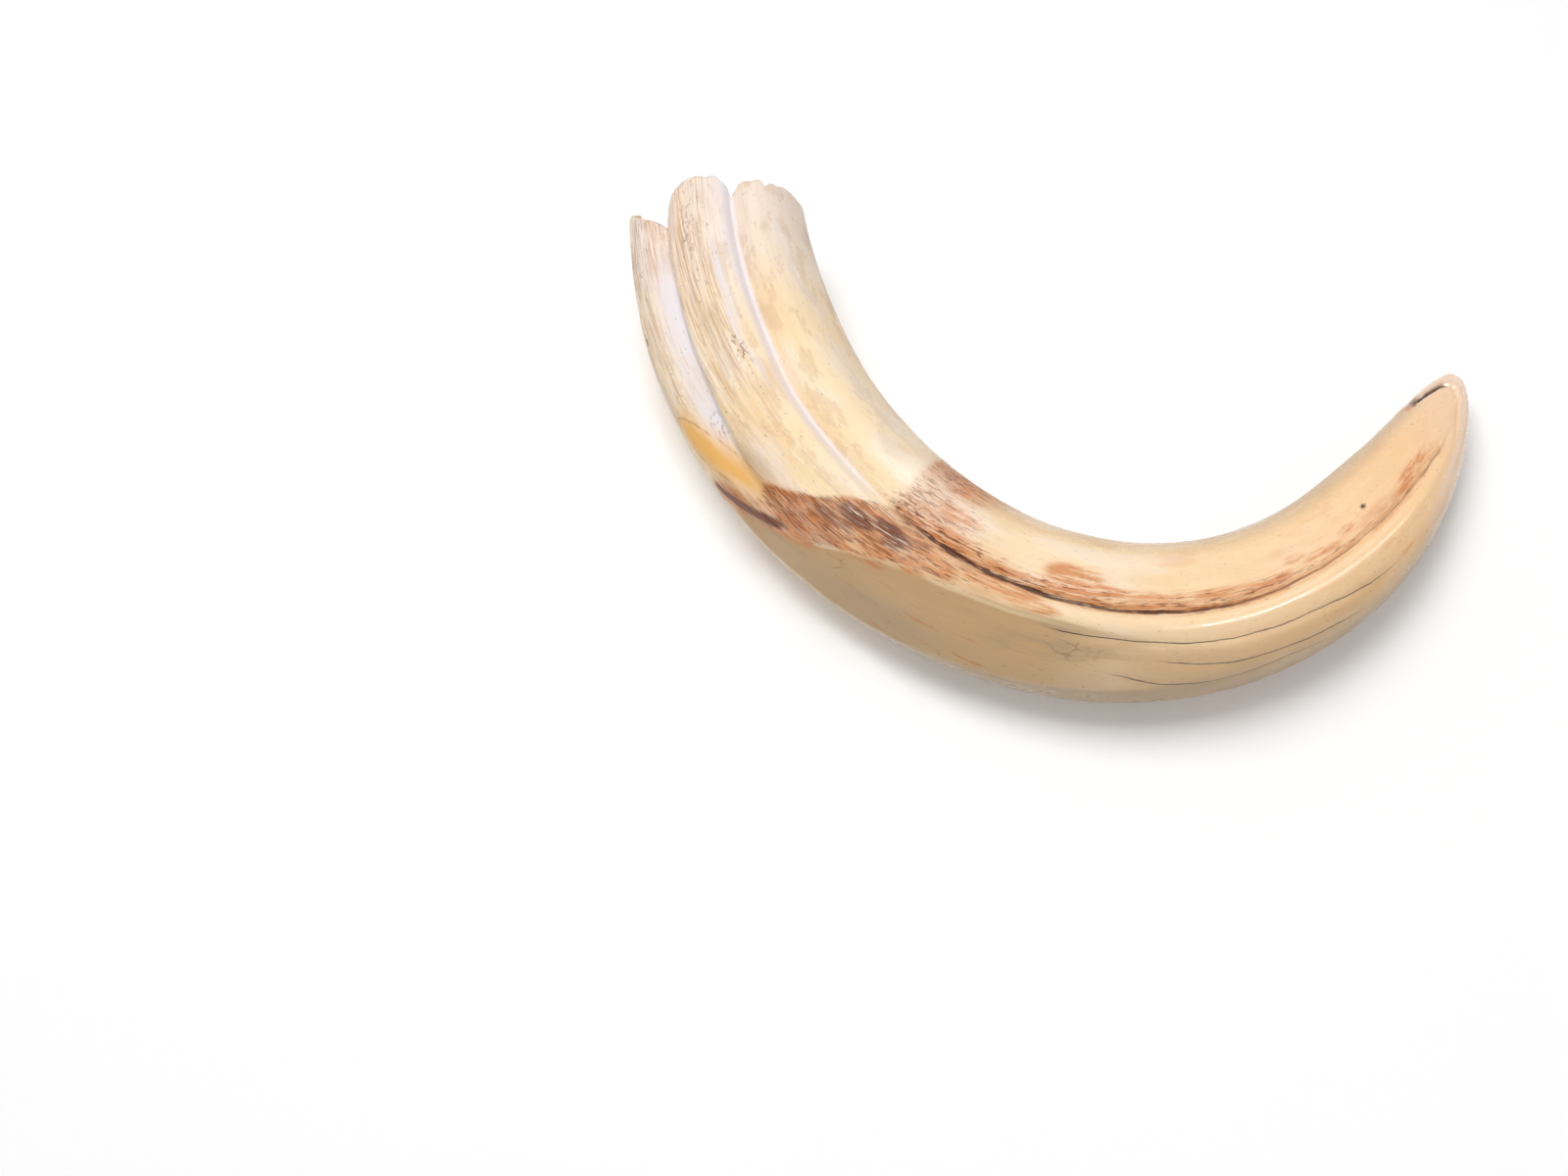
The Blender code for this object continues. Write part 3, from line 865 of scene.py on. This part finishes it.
    # Pale scratches along the ridge crest, painted partly as highlights.
    glints = (1 - abs(from_ridge - 0.2 + wander).between(0.4, 2.6)) * share.between(0.16, 0.30)
    glints = glints * (1 - share.between(0.40, 0.44))
    glints = glints * fibres.between(0.50, 0.58) * dashes.between(0.36, 0.50)
    colour = paint.blend(glints * 0.75, colour, colours.pale)
    cells = paint.cracks_between(0.0045, 0.0028)
    crazing = flecked * worn * (1 - cells.between(0.01, 0.06)) * mottle.between(0.42, 0.55)
    colour = paint.blend(crazing * 0.5, colour, colours.dark)
    hairs = dashes.between(0.70, 0.75) * mottle.between(0.5, 0.62)
    colour = paint.blend(hairs * 0.45, colour, colours.dark)
    pits = specks.between(0.70, 0.75) * (0.35 + 0.4 * root_grain)
    pits = pits + flecked * (1 - worn) * specks.between(0.52, 0.60)
    colour = paint.blend(pits * 0.6, colour, colours.dark)
    colour = paint.blend(dirt * (0.5 + mottle), colour, colours.crease)
    colour = paint.blend(hollow * 0.9, colour, colours.hollow)

    # Relief, and where the polish is dulled: the crease's inner wall, the root, the stain, the hollow,
    # the flat and the bloom.
    cheek = from_crease.between(-7, -2) * (1 - from_crease.between(-0.4, 0.9)) * crease
    height = root_grain * lines * 0.14 + mottle * 0.026 - cracks * 0.14 - trace * 0.14
    height = height - dashed * 0.03 + glints * 0.04 + hollow * mottle * 0.3 - pits * 0.04
    relief = paint.node("ShaderNodeBump", {}, {"Strength": 1.0, "Distance": 0.001, "Height": height})
    gloss = 0.10 + 0.12 * mottle + 0.20 * tans.between(0.38, 0.62) + 0.4 * cheek
    gloss = gloss + (0.16 + 0.16 * lines) * (1 - share.between(0.2, 0.42))
    gloss = gloss + 0.20 * wash + 0.3 * hollow + 0.16 * worn + 0.25 * chalk_and_sheen
    return paint.finish(
        Base_Color=colour, Roughness=gloss + 0.12 * trace, Normal=relief, IOR=1.5,
        Subsurface_Weight=0.10, Subsurface_Radius=(0.9, 0.55, 0.3), Subsurface_Scale=0.002,
    )


class TUSK_OT_carve(bpy.types.Operator):
    """Carve, bend and finish the tusk"""

    bl_idname = "tusk.carve"
    bl_label = "Tusk"

    def execute(self, context):
        shape = context.scene.tusk_shape
        bar = add_blank(shape)
        mesh = bar.data
        blank = np.empty(len(mesh.vertices) * 3)
        mesh.vertices.foreach_get("co", blank)
        blank = blank.reshape(-1, 3)
        inside = np.hypot(blank[:, 1], blank[:, 2]) < SKIN_FROM_RADIUS
        skin = np.where(inside & (blank[:, 0] < shape.length - SAME_PLACE), 0.0, 1.0)
        carved, marks = carve(shape, blank, skin)
        mesh.vertices.foreach_set("co", carved.ravel())
        for name, numbers in marks.items():
            held = mesh.attributes.new(name, "FLOAT_VECTOR", "POINT")
            held.data.foreach_set("vector", numbers.ravel())
        bend(shape, bar)

        bpy.ops.object.shade_smooth()
        mesh.materials.append(ivory(context.scene.tusk_colours))
        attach(bar, "root")
        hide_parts("tusk")
        return {"FINISHED"}


class TUSK_OT_stage(bpy.types.Operator):
    """Add the floor, the lights and the camera"""

    bl_idname = "tusk.stage"
    bl_label = "Stage"

    def execute(self, context):
        stage = context.scene.tusk_stage
        add_floor(stage)
        add_lights(stage)
        add_camera(stage)
        return {"FINISHED"}


def add_floor(stage):
    bpy.ops.object.select_all(action="DESELECT")
    bpy.ops.mesh.primitive_plane_add(size=8, location=(0, 0, SOLID_LOW.z - 0.0001))
    floor = bpy.context.object
    floor.name = "floor"
    bpy.ops.object.transform_apply(location=True, rotation=True, scale=True)
    paint = Paint("floor")
    floor.data.materials.append(paint.finish(Base_Color=stage.floor, Roughness=0.9))


def aim(thing, at, run=None):
    """Turns a light or a camera to look at a point, with its local X near a given way if there is one."""
    back = (thing.location - at).normalized()
    turn = (-back).to_track_quat("-Z", "Y")
    if run:
        side = (run - run.dot(back) * back).normalized()
        turn = Matrix((side, back.cross(side), back)).transposed().to_quaternion()
    thing.rotation_euler = turn.to_euler()


def add_lights(stage):
    """Soft lights that colour the tusk, and small ones that only shine back from its polish."""
    for name, place, size, power, shines, run in (
        # Name, place, size, power, whether it only shines back, and the way its long side runs.
        ("key", (-0.30, 0.30, 1.20), (0.8, 0.8), stage.key, False, (1, 0, 0)),
        ("fill", (0.50, -0.60, 0.82), (0.9, 0.07), stage.fill, False, (0.80, 0.37, -0.20)),
        ("glint_right", (0.60, 0.03, 0.84), (1.0, 0.05), stage.glints, True, (0.11, 0.95, -0.17)),
        ("glint_left", (-0.68, -0.20, 0.91), (0.20, 0.08), stage.glints * 0.12, True, (0.1, -0.4, 0.0)),
        ("glint_back", (-0.02, 0.82, 0.76), (0.55, 0.10), stage.glints * 0.35, True, (1, 0, 0)),
    ):
        bpy.ops.object.select_all(action="DESELECT")
        bpy.ops.object.light_add(type="AREA", location=place)
        light = bpy.context.object
        light.name = light.data.name = name
        light.data.shape = "RECTANGLE"
        light.data.size, light.data.size_y = size
        light.data.energy = power
        light.data.use_shadow = name == "key"
        light.visible_glossy = shines
        light.visible_diffuse = not shines
        aim(light, SOLID_MIDDLE, Vector(run))
    world = bpy.data.worlds.new("room")
    world.use_nodes = True
    world.node_tree.nodes["Background"].inputs["Color"].default_value = (1, 1, 1, 1)
    world.node_tree.nodes["Background"].inputs["Strength"].default_value = stage.ambient
    bpy.context.scene.world = world


def add_camera(stage):
    target = SOLID_MIDDLE + Vector(stage.aim)
    back = Vector((0, -math.cos(stage.elevation), math.sin(stage.elevation)))
    bpy.ops.object.select_all(action="DESELECT")
    bpy.ops.object.camera_add(location=target + back * stage.distance)
    camera = bpy.context.object
    camera.name = "camera"
    camera.data.lens = stage.lens
    aim(camera, target)
    bpy.context.scene.camera = camera
    bpy.context.scene.view_settings.view_transform = "Standard"


class TUSK_PT_panel(bpy.types.Panel):
    """The tusk's sizes and colours, and what makes each piece"""

    bl_idname = "TUSK_PT_panel"
    bl_label = "Warthog tusk"
    bl_space_type = "VIEW_3D"
    bl_region_type = "UI"
    bl_category = "Tusk"

    def draw(self, context):
        for operator, settings in (
            (TUSK_OT_carve, (context.scene.tusk_shape, context.scene.tusk_colours)),
            (TUSK_OT_stage, (context.scene.tusk_stage,)),
        ):
            box = self.layout.box()
            box.operator(operator.bl_idname)
            for group in settings:
                for name in group.__annotations__:
                    box.prop(group, name)


CLASSES = (TuskShape, TuskColours, StageSettings, TUSK_OT_carve, TUSK_OT_stage, TUSK_PT_panel)


def register():
    for cls in CLASSES:
        bpy.utils.register_class(cls)
    bpy.types.Scene.tusk_shape = bpy.props.PointerProperty(type=TuskShape)
    bpy.types.Scene.tusk_colours = bpy.props.PointerProperty(type=TuskColours)
    bpy.types.Scene.tusk_stage = bpy.props.PointerProperty(type=StageSettings)


def unregister():
    del bpy.types.Scene.tusk_stage, bpy.types.Scene.tusk_colours, bpy.types.Scene.tusk_shape
    for cls in reversed(CLASSES):
        bpy.utils.unregister_class(cls)


def main():
    register()
    bpy.ops.tusk.carve()
    bpy.ops.tusk.stage()


if __name__ == "__main__":
    main()
